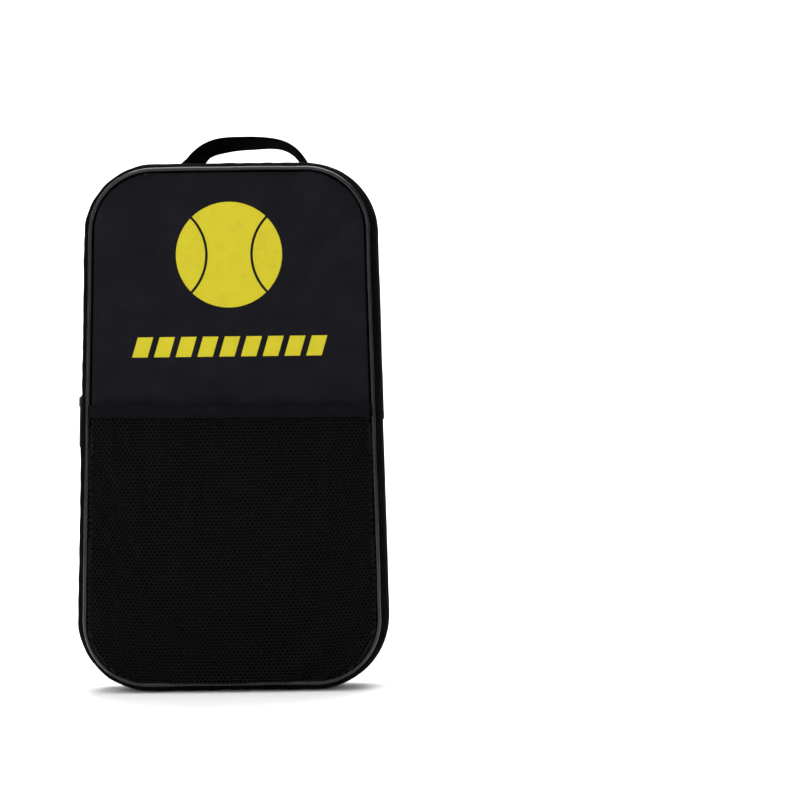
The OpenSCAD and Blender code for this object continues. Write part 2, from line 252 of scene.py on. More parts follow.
def stitches(name, rows, r=0.00028):
    """Rows of thread stitches, each a short round bar that dips in at its ends; a row is (path, normals)."""
    points, faces = [], []
    for path, normal in rows:
        normal = np.broadcast_to(np.asarray(normal, float), path.shape)
        far = along(path)
        count = max(1, int(far[-1] / STITCH_PITCH))
        for i in range(count):
            at = (i + 0.5) * far[-1] / count + np.array([-0.5, -0.3, 0, 0.3, 0.5]) * STITCH_LENGTH
            mid, up = (np.stack([np.interp(at, far, line[:, k]) for k in range(3)], -1)
                       for line in (path, normal))
            up = up / np.linalg.norm(up, axis=1, keepdims=True)
            forward = mid[-1] - mid[0]
            side = np.cross(forward / np.linalg.norm(forward), up)
            mid = mid + up * (np.array([-0.9, 0.35, 0.75, 0.35, -0.9]) * r)[:, None]
            size = np.array([0.75, 1, 1, 1, 0.75]) * r
            turn = np.arange(6) * math.pi / 3
            ring = side[:, None] * np.cos(turn)[None, :, None] + up[:, None] * np.sin(turn)[None, :, None]
            bar = mid[:, None] + ring * size[:, None, None]
            faces += tube_grid(bar, np.zeros(6), np.zeros(7), start=len(points) * 5 * 6)[0]
            points.append(bar)
    return add_mesh(name, np.array(points), faces, material=thread)


def grid_quads(rows, cols):
    """The corners of each cell in a grid of points."""
    return [(i * cols + j, i * cols + j + 1, (i + 1) * cols + j + 1, (i + 1) * cols + j)
            for i in range(rows - 1) for j in range(cols - 1)]


def attach(piece, slot, body, *cad):
    """Hides the CAD nodes that a piece stands for and puts the piece on its body; for "bend", which is case
    and flap both, it bakes the piece's transform and leaves it unparented. The slot is not used.
    """
    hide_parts(*cad)
    if body == "bend":
        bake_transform(piece)
    else:
        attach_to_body(piece, body)


# ---- materials ----
class Nodes:
    """A short way to write a material's nodes."""

    def __init__(self, name):
        self.material = bpy.data.materials.new(name)
        self.material.use_nodes = True
        self.tree = self.material.node_tree
        self.shader = self.tree.nodes["Principled BSDF"]

    def surface(self, colour, roughness=None, normal=None, **values):
        """Links the textured inputs, sets the plain ones and hands over the material."""
        for source, socket in ((colour, "Base Color"), (roughness, "Roughness"), (normal, "Normal")):
            if source is not None:
                self.tree.links.new(source, self.shader.inputs[socket])
        for key, value in values.items():
            self.shader.inputs[key.replace("_", " ")].default_value = value
        return self.material

    def new(self, kind, **inputs):
        """A node whose inputs are set to numbers or linked."""
        node = self.tree.nodes.new("ShaderNode" + kind)
        for key, value in inputs.items():
            self.fill(node.inputs[key], value)
        return node

    def fill(self, socket, value):
        if isinstance(value, (int, float)):
            socket.default_value = value
        elif value is not None:
            self.tree.links.new(value, socket)

    def math(self, operation, *values):
        node = self.new("Math")
        node.operation = operation
        for socket, value in zip(node.inputs, values):
            self.fill(socket, value)
        return node.outputs[0]

    def times(self, a, b):
        return self.math("MULTIPLY", a, b)

    def plus(self, a, by, onto):
        """a times by, added onto another value."""
        return self.math("MULTIPLY_ADD", a, by, onto)

    def coordinates(self, uv=True):
        return self.new("TexCoord").outputs["UV" if uv else "Object"]

    def axes(self, vector):
        return self.new("SeparateXYZ", Vector=vector).outputs

    def noise(self, vector, scale, detail=3.0, rough=0.55):
        return self.new("TexNoise", Vector=vector, Scale=scale, Detail=detail, Roughness=rough).outputs["Fac"]

    def ramp(self, fac, stops):
        node = self.new("ValToRGB", Fac=fac)
        while len(node.color_ramp.elements) < len(stops):
            node.color_ramp.elements.new(0.5)
        for element, (at, colour) in zip(node.color_ramp.elements, stops):
            element.position = at
            element.color = (*colour, 1)
        return node.outputs["Color"]

    def wave(self, value, period):
        """0 to 1 and back over each period of a coordinate."""
        return self.plus(self.math("SINE", self.times(value, 2 * math.pi / period), 0), 0.5, 0.5)

    def bump(self, height, distance, strength=1.0, under=None):
        node = self.new("Bump", Height=height, Distance=distance, Strength=strength, Normal=under)
        return node.outputs["Normal"]


def tint(colour, by):
    return tuple(min(1.0, c * by) for c in colour)


def woven(name, colour, thread_w=0.00055, relief=0.00012, rough=0.82, sheen=0.0, specular=0.02):
    """Plain-woven cloth: threads over and under, uneven yarn, and soft broad wear."""
    n = Nodes(name)
    at = n.coordinates()
    axes = n.axes(at)
    warp, weft = n.wave(axes[0], thread_w * 2), n.wave(axes[1], thread_w * 2)
    under = n.times(n.math("SUBTRACT", 1.0, warp), n.math("SUBTRACT", 1.0, weft))
    weave = n.math("ADD", n.times(warp, weft), under)
    yarn, broad = n.noise(at, 900, 2), n.noise(at, 34, 4)
    tone = n.plus(broad, 0.7, n.plus(yarn, 0.35, n.times(weave, 0.2)))
    return n.surface(
        n.ramp(tone, [(0.25, tint(colour, 0.62)), (0.62, colour), (1.0, tint(colour, 1.75))]),
        n.plus(yarn, 0.16, rough - 0.08),
        n.bump(n.plus(yarn, 0.8, weave), relief, 0.8, n.bump(broad, 0.0006, 0.35)),
        Sheen_Weight=sheen, Sheen_Roughness=0.45, Specular_IOR_Level=specular)


def webbing_material(name, colour, rib=0.0016):
    """Flat webbing: herringbone ribs across it and fine yarn along it."""
    n = Nodes(name)
    at = n.coordinates()
    axes = n.axes(at)
    ribs = n.wave(n.plus(n.math("PINGPONG", axes[1], 0.0028), 0.9, axes[0]), rib)
    lines = n.wave(axes[1], 0.00075)
    yarn, broad = n.noise(at, 700, 3), n.noise(at, 60, 3)
    height = n.plus(ribs, 1.0, n.plus(lines, 0.35, n.times(yarn, 0.6)))
    tone = n.plus(broad, 0.5, n.plus(ribs, 0.25, n.times(yarn, 0.3)))
    return n.surface(
        n.ramp(tone, [(0.2, tint(colour, 0.5)), (0.6, colour), (1.0, tint(colour, 2.0))]),
        n.plus(yarn, 0.2, 0.75), n.bump(height, 0.00022, 0.9), Specular_IOR_Level=0.01)


def vinyl(name, colour):
    """Glossy vinyl piping, with fine creases round its bends."""
    n = Nodes(name)
    at = n.coordinates()
    fine, broad = n.noise(at, 420, 3), n.noise(at, 70, 2)
    crease = n.wave(n.plus(fine, 0.004, n.axes(at)[0]), 0.0042)
    return n.surface(
        n.ramp(broad, [(0.3, tint(colour, 0.8)), (0.7, tint(colour, 1.5))]), n.plus(fine, 0.12, 0.1),
        n.bump(crease, 0.00005, 0.3, n.bump(broad, 0.0003, 0.3)),
        Specular_IOR_Level=0.22, Coat_Weight=0.3, Coat_Roughness=0.06)


def moulded(name, colour, rough, specular):
    """Moulded plastic or enamel: fine grain, faint scuffs and lighter worn edges."""
    n = Nodes(name)
    at = n.coordinates(False)
    fine, scuff = n.noise(at, 2600, 2), n.noise(at, 240, 5, 0.65)
    edge = n.ramp(n.new("NewGeometry").outputs["Pointiness"], [(0.5, (0, 0, 0)), (0.58, (1, 1, 1))])
    tone = n.plus(n.times(edge, scuff), 0.55, n.times(scuff, 0.6))
    return n.surface(
        n.ramp(tone, [(0.15, tint(colour, 0.8)), (0.5, colour), (0.95, tint(colour, 2.2))]),
        n.plus(scuff, 0.24, rough - 0.12),
        n.bump(fine, 0.00004, 0.5, n.bump(scuff, 0.00008, 0.25)), Specular_IOR_Level=specular)


def ink(name, colour):
    """Screen-printed ink: the cloth's weave shows through, with small thin spots."""
    n = Nodes(name)
    at = n.coordinates(False)
    axes = n.axes(at)
    weave = n.times(n.wave(axes[0], 0.0012), n.wave(axes[2], 0.0012))
    thin, broad = n.noise(at, 1500, 3), n.noise(at, 90, 3)
    return n.surface(
        n.ramp(n.plus(broad, 0.35, n.times(thin, 0.65)),
               [(0.3, tint(colour, 0.72)), (0.45, colour), (1.0, tint(colour, 1.12))]),
        n.plus(thin, 0.2, 0.45), n.bump(n.math("ADD", weave, thin), 0.00008, 0.5), Specular_IOR_Level=0.3)


def foam_material(name, colour):
    n = Nodes(name)
    cells = n.noise(n.coordinates(False), 1300, 4, 0.7)
    return n.surface(n.ramp(cells, [(0.3, tint(colour, 0.55)), (0.7, colour)]),
                     n.plus(cells, 0.1, 0.85), n.bump(cells, 0.0004, 0.7))


shell_cloth = woven("shell_cloth", (0.0064, 0.0064, 0.0082), specular=0.03)
band_cloth = woven("band_cloth", (0.0022, 0.0022, 0.0027), specular=0.01)
lining_cloth = woven("lining_cloth", (0.03, 0.03, 0.033), 0.0004, 0.00006, 0.7, sheen=0.1, specular=0.22)
# painted shade: a darker cloth that stands for the shadow on the front behind the mesh pocket
painted_pocket_shade = woven("painted_pocket_shade", (0.0020, 0.0020, 0.0026))
# painted shadow: a near-black cloth that stands for the shade in the groove along the seams
painted_seam_shadow = woven("painted_seam_shadow", (0.0008, 0.0008, 0.0010), specular=0.0)
mesh_cloth = woven("mesh_cloth", (0.0008, 0.0008, 0.0011), 0.0003, 0.00005, rough=0.34, specular=0.06)
tape_cloth = webbing_material("zip_tape", (0.004, 0.004, 0.0047), rib=0.0009)
webbing = webbing_material("webbing", (0.0013, 0.0013, 0.0016))
binding_cloth = webbing_material("binding_tape", (0.0056, 0.0056, 0.0070), rib=0.0012)
piping_vinyl = vinyl("piping_vinyl", (0.0022, 0.0022, 0.0024))
teeth_plastic = moulded("zip_teeth", (0.006, 0.006, 0.0068), rough=0.45, specular=0.15)
slider_enamel = moulded("slider_enamel", (0.016, 0.016, 0.015), rough=0.4, specular=0.15)
buckle_plastic = moulded("buckle_plastic", (0.034, 0.034, 0.036), rough=0.4, specular=0.25)
thread = moulded("thread", (0.006, 0.006, 0.0075), rough=0.75, specular=0.03)
print_ink = ink("print_ink", (0.43, 0.37, 0.002))
foam = foam_material("foam", (0.3, 0.3, 0.32))


# ---- walls ----
def rows_and_widths(out, step=0.0055, arc_rows=15):
    """Heights of a wall's rows, closer together round its corners, and half its width at each."""
    r = seam_r + out
    turn = np.linspace(0, math.pi / 2, arc_rows)
    foot = foot_z - r * np.cos(turn)
    head = head_z + r * np.cos(turn[::-1])
    middle = np.linspace(foot_z, head_z, int((head_z - foot_z) / step))[1:-1]
    z = np.concatenate([foot, middle, head])
    return z, half_width(z, out)


def spread_columns(count):
    """Positions across a wall from -1 to 1, closer together at its edges."""
    t = np.linspace(-1, 1, count)
    return 1.3 * t - 0.3 * t ** 3


def rim(shape):
    """True at the edge points of a grid, which the sewing holds."""
    held = np.ones(shape, bool)
    held[1:-1, 1:-1] = False
    return held


def settled(flat, pressure, gravity, slack, cap, frames):
    """A grid of cloth after a short simulation, as the move of each point; the rim stays."""
    rows, cols = flat.shape[:2]
    ob = add_mesh("sim", flat, grid_quads(rows, cols))
    group = ob.vertex_groups.new(name="pin")
    group.add([int(i) for i in np.flatnonzero(rim((rows, cols)))], 1.0, "REPLACE")
    cloth = ob.modifiers.new("Cloth", "CLOTH")
    cloth.point_cache.frame_start, cloth.point_cache.frame_end = 1, frames
    s = cloth.settings
    s.quality = 6
    s.mass = 0.25
    s.tension_stiffness = s.compression_stiffness = 12
    s.shear_stiffness = 6
    s.bending_stiffness = 0.6
    s.air_damping = 3
    s.vertex_group_mass = "pin"
    s.pin_stiffness = 1
    s.use_dynamic_mesh = False
    s.shrink_min = -slack
    s.use_pressure = True
    s.uniform_pressure_force = pressure
    s.effector_weights.gravity = gravity
    cloth.collision_settings.use_collision = False
    cloth.collision_settings.use_self_collision = False
    scene = bpy.context.scene
    for f in range(1, frames + 1):
        scene.frame_set(f)
    shown = ob.evaluated_get(bpy.context.evaluated_depsgraph_get())
    got = np.zeros(rows * cols * 3)
    shown.data.vertices.foreach_get("co", got)
    scene.frame_set(1)
    bpy.data.objects.remove(ob)
    move = got.reshape(rows, cols, 3) - flat
    far = np.linalg.norm(move, axis=-1, keepdims=True)
    return move * np.minimum(1, cap / np.maximum(far, 1e-9)) ** 0.8


def sampled(field, field_z, field_u, z, u):
    """A grid field looked up at heights z and cross positions u, by straight interpolation."""
    i = np.clip(np.searchsorted(field_z, z) - 1, 0, len(field_z) - 2)
    j = np.clip(np.searchsorted(field_u, u) - 1, 0, len(field_u) - 2)
    a = np.clip((z - field_z[i]) / (field_z[i + 1] - field_z[i]), 0, 1)[..., None]
    b = np.clip((u - field_u[j]) / (field_u[j + 1] - field_u[j]), 0, 1)[..., None]
    return ((1 - a) * (1 - b) * field[i, j] + (1 - a) * b * field[i, j + 1]
            + a * (1 - b) * field[i + 1, j] + a * b * field[i + 1, j + 1])


def crown(d):
    """How far a padded wall's face stands out past its seam, at d metres inside it."""
    rise = np.clip(d, 0, None)
    return 0.0032 * (1 - np.exp(-(rise / 0.0034) ** 1.7)) + 0.0012 * (1 - np.exp(-rise / 0.03))


def puffed(side, seed):
    """The move of a wall's cloth under its padding's pressure, on a coarse grid."""
    u = np.linspace(-1, 1, 41)
    z, w = rows_and_widths(-0.001, step=0.009, arc_rows=9)
    x = w[:, None] * u
    zz = np.broadcast_to(z[:, None], x.shape)
    flat = np.stack([x, side * (EDGE_DEPTH + crown(seam_distance(x, zz))), zz], -1)
    flat[..., 1] += side * 0.0004 * ripple(x, zz, 0.06, seed) * ~rim(x.shape)
    return settled(flat, 1.2 * side, 0.35, 0.006, 0.0016, frames=22), z, u


def wall(name, side, outer, inner, out, material, field=None, cols=71, step=0.0046):
    """A closed sheet or slab over the whole outline; outer and inner give its faces' depths at (x, z)."""
    z, w = rows_and_widths(out, step)
    u = spread_columns(cols)
    x = w[:, None] * u
    zz = np.broadcast_to(z[:, None], x.shape).copy()
    move = 0 if field is None else sampled(*field, zz, np.broadcast_to(u, x.shape))
    d = seam_distance(x, zz)
    both = [np.stack([x, side * depth(x, zz, d), zz], -1) + move for depth in (outer, inner)]
    rows = len(z)
    n = rows * cols
    flat_uv = np.stack([x, zz], -1).reshape(-1, 2)
    faces, uvs = [], []
    for start in (0, n):
        for q in grid_quads(rows, cols):
            q = q if start else q[::-1]
            faces.append(tuple(start + v for v in q))
            uvs += [flat_uv[v] for v in q]
    last = (rows - 1) * cols
    border = [*range(cols), *range(2 * cols - 1, n, cols),
              *range(n - 2, last - 1, -1), *range(last - cols, 0, -cols)]
    for a, b in zip(border, border[1:] + border[:1]):
        faces.append((a, b, n + b, n + a))
        uvs += [flat_uv[a], flat_uv[b], flat_uv[b], flat_uv[a]]
    return outward(add_mesh(name, np.stack(both), faces, uvs, material=material))


def skin_depth(x, z, d):
    return EDGE_DEPTH + crown(d)


def make_walls(side, label, body, nodes, seed):
    """Outer cloth, foam and lining of the front or the back wall; the outer cloth carries painted seam shadow
    along its edge and, on the front, painted shade behind the pocket.
    """
    field = puffed(side, seed)

    def lining(x, z, d):
        return (lining_y + 0.0006 * (1 - np.exp(-np.clip(d, 0, None) / 0.01))
                + 0.0003 * ripple(x, z, 0.05, seed + 5))

    skin = wall(label + "_skin", side, skin_depth, lambda x, z, d: skin_depth(x, z, d) - CLOTH_T,
                -0.0006, shell_cloth, field)
    padding = wall(label + "_padding", side, lambda x, z, d: skin_depth(x, z, d) - CLOTH_T - 0.0002,
                   lambda x, z, d: lining(x, z, d) + 0.0008, -0.0022, foam, field, cols=41, step=0.009)
    liner = wall(label + "_lining_sheet", side, lambda x, z, d: lining(x, z, d) + 0.0006, lining,
                 -0.0016, lining_cloth)
    skin.data.materials.append(painted_seam_shadow)
    skin.data.materials.append(painted_pocket_shade)
    for face in skin.data.polygons:
        x, y, z = face.center
        # faces within SEAM_SHADE of the seam get the painted seam shadow, for the shade inside the piping
        if seam_distance(x, z) < SEAM_SHADE:
            face.material_index = 1
        # front faces below the pocket's binding get the painted shade that lies behind the mesh
        elif y < 0 and z < (mouth_z + binding_low) / 2:
            face.material_index = 2
    for piece, cad, slot in zip((skin, padding, liner), nodes, ("shell_cloth", "padding", "lining_cloth")):
        attach(piece, slot, body, *cad)
    return skin, liner


front_skin, front_lining = make_walls(
    -1, "front", "bend", (("flap_panel", "lower_front_panel"), ("flap_foam", "lower_front_foam"),
                          ("flap_lining", "lower_front_lining")), 2)
rear_skin, rear_lining = make_walls(
    1, "rear", "case", (("rear_panel",), ("rear_foam",), ("rear_lining",)), 3)


# ---- side band, piping and bindings ----
def bulge(s):
    """How far the band stands out past the seams; it is fuller on the sides than on the flat foot."""
    _, _, nx, nz = station(s)
    return BAND_BULGE + 0.0008 * nx ** 2 - 0.0002 * np.clip(nz, 0, 1) - 0.0003 * np.clip(-nz, 0, 1)


def band_line(s, depths, seed):
    """The band's outer line across its depth, with small puckers where it meets the piping."""
    y = np.asarray(depths)[None, :]
    full = np.clip(1 - np.abs(y / (EDGE_DEPTH + 0.0004)) ** 3.6, 0, 1) ** (1 / 2.1)
    near = np.exp(-(EDGE_DEPTH - np.abs(y)) / 0.005)
    pucker = 0.00035 * near * (1 - near) * 4 * ripple(s, np.sign(y) * 0.3, 0.02, seed)
    soft = 0.0003 * ripple(s, y, 0.11, seed + 2) * full
    out = bulge(s) * full + pucker + np.minimum(soft, 0.0002)
    return np.stack(np.broadcast_arrays(out, y), -1)


def edge_roll(line, slot):
    """Turns the cloth's cut edge under, beside the zip."""
    y = np.abs(line[..., 1])
    roll = 0.0005 * np.exp(-((y - slot - 0.0011) / 0.0011) ** 2)
    groove = -0.0003 * np.exp(-((y - slot - 0.0034) / 0.0005) ** 2)
    line = line.copy()
    line[..., 0] += roll + groove
    return line


FULL_TURN = 2 * HALF_ROUND
right_low = side_distance(zip_low)
upper = np.linspace(right_low, FULL_TURN - right_low, 300)
lower = np.linspace(-right_low, right_low, 200)
round_all = np.linspace(0, FULL_TURN, 420, endpoint=False)
half_depths = np.concatenate([np.linspace(EDGE_DEPTH, 0.012, 12), np.linspace(0.011, SLOT_HALF + 0.004, 6),
                              np.linspace(SLOT_HALF + 0.0035, SLOT_HALF, 9)])
full_depths = np.concatenate([np.linspace(EDGE_DEPTH, 0.012, 12), np.linspace(0.0105, -0.0105, 16),
                              np.linspace(-0.012, -EDGE_DEPTH, 12)])


def half_band(side, seed):
    def section(s):
        line = edge_roll(band_line(s, half_depths, seed), SLOT_HALF)
        loop = thick_line(line, CLOTH_T)
        loop[..., 1] *= side
        return loop
    return section


rear_band = swept("rear_side_band", upper, half_band(1, 11), band_cloth)
front_band = swept("front_side_band", upper, half_band(-1, 17), band_cloth)
lower_band = swept("lower_side_band", lower,
                   lambda s: thick_line(band_line(s, full_depths, 23), CLOTH_T), band_cloth)


def round_section(side, wobble):
    turn = np.linspace(0, 2 * math.pi, 16, endpoint=False)

    def section(s):
        r = PIPING_R * (1 + 0.03 * ripple(s, 0 * s, 0.017, wobble))
        out = PIPING_OUT + r * np.cos(turn) + 0.00015 * ripple(s, 0 * s, 0.06, wobble + 1)
        return np.stack([out, side * (PIPING_DEPTH + r * np.sin(turn))], -1)
    return section


rear_piping = swept("rear_piping_cord", round_all, round_section(1, 4), piping_vinyl, ring=True)
front_piping = swept("front_piping_cord", round_all, round_section(-1, 9), piping_vinyl, ring=True)


def binding_section(side):
    """Folded tape over the raw seam inside the case."""
    turn = np.linspace(0, 2 * math.pi, 12, endpoint=False)

    def section(s):
        squeeze = 1 + 0.12 * ripple(s, 0 * s, 0.03, 6)
        out = -0.0010 + 0.0016 * np.cos(turn) + 0 * s
        y = lining_y - 0.0022 + 0.0009 * squeeze * np.sign(np.sin(turn)) * np.abs(np.sin(turn)) ** 0.6
        return np.stack([out, side * y], -1)
    return section


rear_binding = swept("rear_seam_tape", round_all[::2], binding_section(1), lining_cloth, ring=True)
front_binding = swept("front_seam_tape", round_all[::2], binding_section(-1), lining_cloth, ring=True)


# ---- zip ----
def tape_section(side):
    def section(s):
        y = np.linspace(0.0026, 0.0104, 9)
        out = bulge(s) - CLOTH_T - 0.0003 - 0.0001 * np.cos(y * 4000)
        line = np.stack(np.broadcast_arrays(out, y), -1)
        loop = thick_line(line[..., ::-1, :], 0.0006)
        loop[..., 1] *= side
        return loop
    return section


rear_tape = swept("rear_zip_tape_strip", upper, tape_section(1), tape_cloth)
front_tape = swept("front_zip_tape_strip", upper, tape_section(-1), tape_cloth)

TOOTH_PITCH = 0.0017


def teeth(name, side, shift):
    """One side of the coil, with a rounded loop for each tooth."""
    s = np.arange(right_low + 0.002, FULL_TURN - right_low - 0.002, TOOTH_PITCH)[:, None, None] + shift
    turn = np.arange(8) * math.pi / 4
    y = side * np.array([[-0.0004], [0.0000], [0.0009], [0.0022], [0.0029]])
    size = np.array([[0.72], [1.0], [0.86], [0.95], [0.6]])
    lift = np.array([[0.0], [0.0001], [0.0], [-0.0001], [-0.0004]])
    out = bulge(s) - 0.0016 + lift + 0.00085 * size * np.cos(turn)
    points = round_points(s, out, y, 0.00052 * size * np.sin(turn))
    faces = []
    for i, tooth in enumerate(points):
        faces += tube_grid(tooth, np.zeros(6), np.zeros(9), start=i * tooth[..., 0].size)[0]
    return outward(add_mesh(name, points, faces, material=teeth_plastic))


rear_teeth = teeth("rear_zip_coil", 1, 0.0)
front_teeth = teeth("front_zip_coil", -1, TOOTH_PITCH / 2)


def end_tabs():
    """Cloth tabs sewn over both ends of the zip."""
    turn = np.linspace(0, 2 * math.pi, 24, endpoint=False)
    points, faces, uvs = [], [], []
    for way in (1, -1):
        s = way * np.linspace(right_low - 0.0085, right_low + 0.0015, 12)
        ease = np.clip(1 - (np.abs(np.linspace(-1, 1, 12)) ** 8) * 0.6, 0, 1)[:, None]
        out = bulge(s)[:, None] + 0.0001 + 0.0006 * ease * np.sign(np.sin(turn)) * np.abs(np.sin(turn)) ** 0.5
        y = 0.0079 * np.sign(np.cos(turn)) * np.abs(np.cos(turn)) ** 0.35 * (0.97 + 0.03 * ease)
        p = round_points(s[:, None], out, y)
        loop = np.stack([out[5], y[5]], -1)
        f, u = tube_grid(p, along(p[:, 0]), along(np.concatenate([loop, loop[:1]])),
                         start=len(points) * p.shape[0] * p.shape[1])
        points.append(p.reshape(-1, 3))
        faces += f
        uvs += u
    return outward(add_mesh("zip_end_cloths", np.concatenate(points), faces, uvs, material=binding_cloth))


end_cloths = end_tabs()

for piece, slot, body, *cad in (
        (front_band, "band_cloth", "bend", "flap_band", "front_band_ends"),
        (front_piping, "piping_vinyl", "bend", "flap_piping", "lower_front_piping"),
        (front_binding, "lining_cloth", "bend", "flap_seam_binding", "lower_seam_binding"),
        (front_tape, "zip_cloth", "bend", "flap_zip_tape", "zip_tape_ends"),
        (front_teeth, "zip_plastic", "bend", "flap_zip_teeth", "zip_teeth_ends"),
        (rear_band, "band_cloth", "case", "rear_band"),
        (lower_band, "band_cloth", "case", "lower_band"),
        (rear_piping, "piping_vinyl", "case", "rear_piping"),
        (rear_binding, "lining_cloth", "case", "rear_seam_binding"),
        (rear_tape, "zip_cloth", "case", "rear_zip_tape"),
        (rear_teeth, "zip_plastic", "case", "rear_zip_teeth"),
        (end_cloths, "band_cloth", "case", "zip_end_tabs")):
    attach(piece, slot, body, *cad)


def band_stitches(name, side):
    """The row of stitches beside the zip, on one half of the band."""
    s = np.linspace(right_low + 0.002, FULL_TURN - right_low - 0.002, 320)
    depth = SLOT_HALF + 0.0034
    line = edge_roll(band_line(s[:, None], [depth], 17 if side < 0 else 11), SLOT_HALF)[:, 0]
    _, _, nx, nz = station(s)
    path = round_points(s, line[:, 0], side * depth)
    return stitches(name, [(path, np.stack([nx, 0 * nx, nz], -1))])


front_row, rear_row = band_stitches("front_band_stitches", -1), band_stitches("rear_band_stitches", 1)
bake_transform(front_row)
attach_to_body(rear_row, "case")


# ---- mesh pocket ----
MESH_PITCH_X, MESH_PITCH_Z = 0.00365, 0.0027
MESH_EDGE = -0.0006
pocket_top = binding_low + 0.004
pocket_front = -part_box("mesh_pocket")[0].y


def pocket_depth(x, z):
    """Depth of the pocket's sheet before it slackens."""
    d = np.clip(seam_distance(x, z), 0, None)
    lift = 1 - np.exp(-d / 0.010)
    low = EDGE_DEPTH + 0.0024
    return low + (pocket_front - 0.0006 - low) * lift


# The slack's folds, each as points in x and z, its height and its width
FOLDS = (
    (((-0.108, 0.236), (-0.063, 0.205), (-0.045, 0.180), (-0.030, 0.152), (-0.018, 0.118)), 0.0052, 0.0150),
    (((-0.020, 0.232), (-0.004, 0.212), (0.011, 0.192), (0.016, 0.165)), 0.0044, 0.0125),
    (((-0.100, 0.205), (-0.085, 0.178), (-0.077, 0.146), (-0.074, 0.105)), 0.0038, 0.0140),
    (((0.104, 0.232), (0.082, 0.192), (0.068, 0.155), (0.055, 0.120)), 0.0046, 0.0145),
    (((0.045, 0.232), (0.036, 0.205), (0.033, 0.178)), 0.0033, 0.0120),
    (((-0.118, 0.090), (-0.098, 0.060), (-0.070, 0.040)), 0.0026, 0.0120),
    (((0.116, 0.100), (0.103, 0.066), (0.080, 0.042)), 0.0026, 0.0120),
)


def fold_line(x, z, line, width):
    """1 on a fold's crest and 0 away from it; the fold dies away towards its last point."""
    best, share = np.full(x.shape, 1e9), np.zeros(x.shape)
    count = len(line) - 1
    for i in range(count):
        (ax, az), (bx, bz) = line[i], line[i + 1]
        dx, dz = bx - ax, bz - az
        t = np.clip(((x - ax) * dx + (z - az) * dz) / (dx * dx + dz * dz), 0, 1)
        d = np.hypot(x - ax - t * dx, z - az - t * dz)
        share = np.where(d < best, (i + t) / count, share)
        best = np.minimum(best, d)
    return np.exp(-(best / (width * (0.8 + 0.5 * share))) ** 2) * (1 - 0.75 * share ** 2)


def slack_mesh():
    """The pocket's sheet once its slack has fallen into folds: (places, heights, cross positions)."""
    u = np.linspace(-1, 1, 61)
    z_all, _ = rows_and_widths(MESH_EDGE, step=0.0045, arc_rows=11)
    z = np.append(z_all[z_all < pocket_top - 0.002], pocket_top)
    w = half_width(z, MESH_EDGE)
    x = w[:, None] * u
    zz = np.broadcast_to(z[:, None], x.shape)
    flat = np.stack([x, -pocket_depth(x, zz), zz], -1)
    inside = np.clip(seam_distance(x, zz) / 0.02, 0, 1) * np.clip((pocket_top - zz) / 0.012, 0, 1)
    folds = 0 * x
    for line, height, width in FOLDS:
        folds = np.maximum(folds, height * fold_line(x, zz, line, width))
    flat[..., 1] += inside * (0.0032 - folds - 0.0005 * ripple(x, zz, 0.05, 6))
    move = settled(flat, -0.35, 1.0, 0.018, 0.004, frames=26)
    move[..., 1] = np.clip(move[..., 1], -0.0016, 0.0016)
    return flat + move, z, u


def mesh_sheet():
    """Knitted mesh: staggered round holes in a sheet that follows the settled cloth."""
    places, zs, us = slack_mesh()
    half_x = MESH_PITCH_X / 2
    tip = (half_x ** 2 + MESH_PITCH_Z ** 2) / (2 * MESH_PITCH_Z)
    shoulder = (MESH_PITCH_Z ** 2 - half_x ** 2) / (2 * MESH_PITCH_Z)
    cell, hole = ([(0.0, high), (-wide, low), (-wide, -low), (0.0, -high), (wide, -low), (wide, low)]
                  for wide, high, low in ((half_x, tip, shoulder), (0.0012, 0.00125, 0.00062)))
    low = foot_z - seam_r
    keys, flat, raised, faces = {}, [], [], []

    def corner(px, pz):
        key = (round(px / half_x), round(pz / 1e-5))
        if key not in keys:
            keys[key] = len(flat)
            flat.append((px, pz))
            raised.append(1.0)
        return keys[key]

    rows = int((pocket_top - low) / MESH_PITCH_Z) + 1
    for j in range(rows + 1):
        pz = low + j * MESH_PITCH_Z
        wide = int(0.13 / MESH_PITCH_X) + 1
        for i in range(-wide, wide + 1):
            px = (i + 0.5 * (j % 2)) * MESH_PITCH_X
            d = float(seam_distance(np.float64(px), np.float64(min(pz, head_z))))
            if d < 0.0012 or pz > pocket_top - 0.001:
                continue
            outer = [corner(px + a, pz + b) for a, b in cell]
            if d < 0.0035:
                faces.append(tuple(outer))
                continue
            start = len(flat)
            flat += [(px + a, pz + b) for a, b in hole]
            raised += [0.0] * len(hole)
            for k in range(6):
                m = (k + 1) % 6
                faces.append((outer[k], outer[m], start + m, start + k))
    flat, raised = np.array(flat), np.array(raised)
    x, z = flat[:, 0], np.clip(flat[:, 1], zs[0], pocket_top)
    w = half_width(z, MESH_EDGE)
    u = np.clip(x / w, -1, 1)
    p = sampled(places, zs, us, z, u)
    p[:, 1] -= 0.00016 * raised
    uvs = [flat[v] for f in faces for v in f]
    ob = add_mesh("pocket_mesh", p, faces, uvs, material=mesh_cloth)
    thick = ob.modifiers.new("thread", "SOLIDIFY")
    thick.thickness = 0.00045
    thick.offset = 0
    return ob


pocket_mesh = mesh_sheet()
attach(pocket_mesh, "mesh_cloth", "case", "mesh_pocket")


